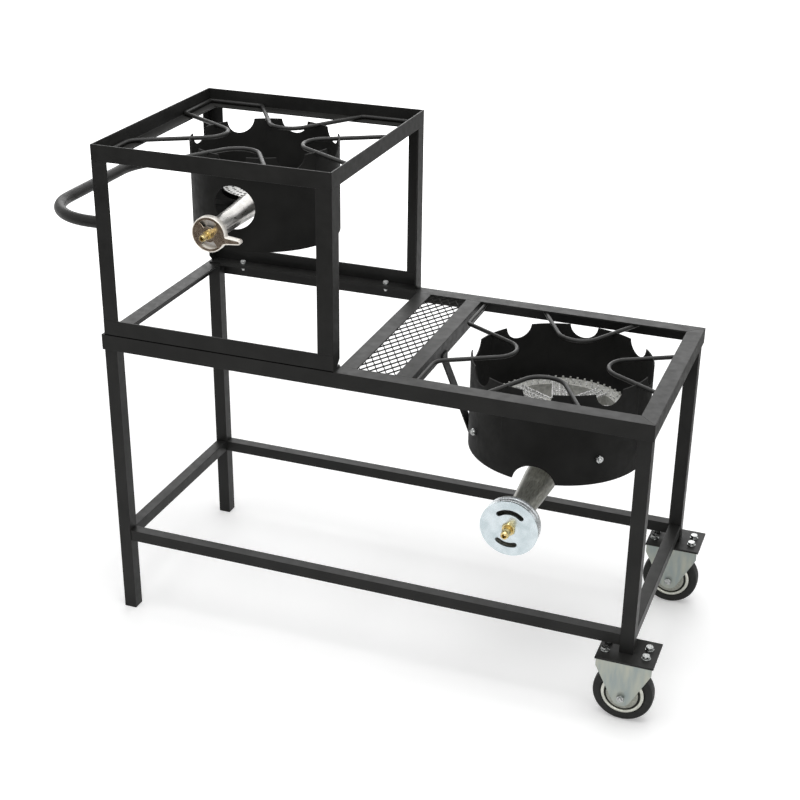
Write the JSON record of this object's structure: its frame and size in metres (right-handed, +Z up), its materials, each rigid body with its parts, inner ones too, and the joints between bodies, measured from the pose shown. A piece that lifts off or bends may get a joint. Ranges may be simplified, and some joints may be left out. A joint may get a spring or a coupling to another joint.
{
  "type": "outdoor gas stove",
  "caption": "Outdoor gas stove: an angle-iron frame on legs and rigid casters, with a high jet burner in a raised stand, a low ring burner, pot rests, air shutters and a tow handle.",
  "frame": {"origin": "on the floor under the middle of the whole object", "axes": "+X along the length towards the casters, +Y to the back away from the gas nozzles, +Z up"},
  "size_m": [1.208, 0.5814, 0.948],
  "materials": {
    "frame_paint": "satin black paint on rolled steel",
    "mesh_paint": "black paint on expanded steel",
    "rod_paint": "dark grey paint on round bar",
    "drum_paint": "matt black heat paint on sheet steel",
    "cast_aluminium": "die-cast, as cast",
    "pressed_plate": "pressed, bright",
    "shutter_chrome": "polished chrome plate",
    "nozzle_brass": "turned brass",
    "ring_iron": "sand-cast, cleaned",
    "venturi_iron": "sand-cast, raw",
    "disc_zinc": "blue-white zinc plate",
    "fork_zinc": "zinc-plated pressed steel",
    "rim_zinc": "zinc-plated pressed steel",
    "tyre_rubber": "moulded black rubber",
    "fastener_zinc": "zinc-plated",
    "bushing_steel": "drawn steel tube"
  },
  "bodies": {
    "frame": {"base_rail_front": "frame_paint", "base_rail_back": "frame_paint", "base_rail_left": "frame_paint", "base_rail_right": "frame_paint", "crossbar_left": "frame_paint", "crossbar_right": "frame_paint", "leg_front_left": "frame_paint", "leg_back_left": "frame_paint", "leg_front_right": "frame_paint", "leg_back_right": "frame_paint", "lower_rails_long": "frame_paint", "lower_rails_short": "frame_paint", "stand_rim_front": "frame_paint", "stand_rim_back": "frame_paint", "stand_rim_left": "frame_paint", "stand_rim_right": "frame_paint", "stand_post_front_left": "frame_paint", "stand_post_back_left": "frame_paint", "stand_post_front_right": "frame_paint", "stand_post_back_right": "frame_paint", "stand_foot_front": "frame_paint", "stand_foot_back": "frame_paint", "handle": "frame_paint", "caster_mount_plates": "frame_paint", "mesh_panel": "mesh_paint", "upper_rod_front": "rod_paint", "upper_rod_back": "rod_paint", "upper_rod_left": "rod_paint", "upper_rod_right": "rod_paint", "lower_rod_front": "rod_paint", "lower_rod_back": "rod_paint", "lower_rod_left": "rod_paint", "lower_rod_right": "rod_paint", "upper_drum": "drum_paint", "lower_drum": "drum_paint", "lower_burner_brackets": "drum_paint", "upper_burner_strap": "drum_paint", "drum_straps": "drum_paint", "upper_burner_body": "cast_aluminium", "upper_burner_plate": "pressed_plate", "upper_gas_nozzle": "nozzle_brass", "lower_gas_nozzle": "nozzle_brass", "lower_ring_casting": "ring_iron", "lower_venturi": "venturi_iron", "front_caster_fork": "fork_zinc", "back_caster_fork": "fork_zinc", "axle_bolts": "fastener_zinc", "stand_bolts": "fastener_zinc", "caster_bolts": "fastener_zinc", "drum_bolts": "fastener_zinc", "burner_screws": "fastener_zinc", "hex_nuts": "fastener_zinc", "flat_washers": "fastener_zinc", "axle_bushings": "bushing_steel"},
    "front_wheel": {"front_wheel_rim": "rim_zinc", "front_tyre": "tyre_rubber"},
    "back_wheel": {"back_wheel_rim": "rim_zinc", "back_tyre": "tyre_rubber"},
    "upper_shutter": {"upper_air_shutter": "shutter_chrome"},
    "lower_shutter": {"lower_air_shutter": "disc_zinc"}
  },
  "joints": [
    {"name": "front_wheel_spin", "type": "hinge", "parent": "frame", "child": "front_wheel", "pos_m": [0.549, -0.16925, 0.055], "axis": [0, 1, 0], "continuous": true},
    {"name": "back_wheel_spin", "type": "hinge", "parent": "frame", "child": "back_wheel", "pos_m": [0.549, 0.24975, 0.055], "axis": [0, 1, 0], "continuous": true},
    {"name": "upper_air_shutter_turn", "type": "hinge", "parent": "frame", "child": "upper_shutter", "pos_m": [-0.2305, -0.19275, 0.815], "axis": [0, 1, 0], "continuous": true},
    {"name": "lower_air_shutter_turn", "type": "hinge", "parent": "frame", "child": "lower_shutter", "pos_m": [0.3485, -0.2619, 0.394], "axis": [0, 1, 0], "continuous": true}
  ]
}
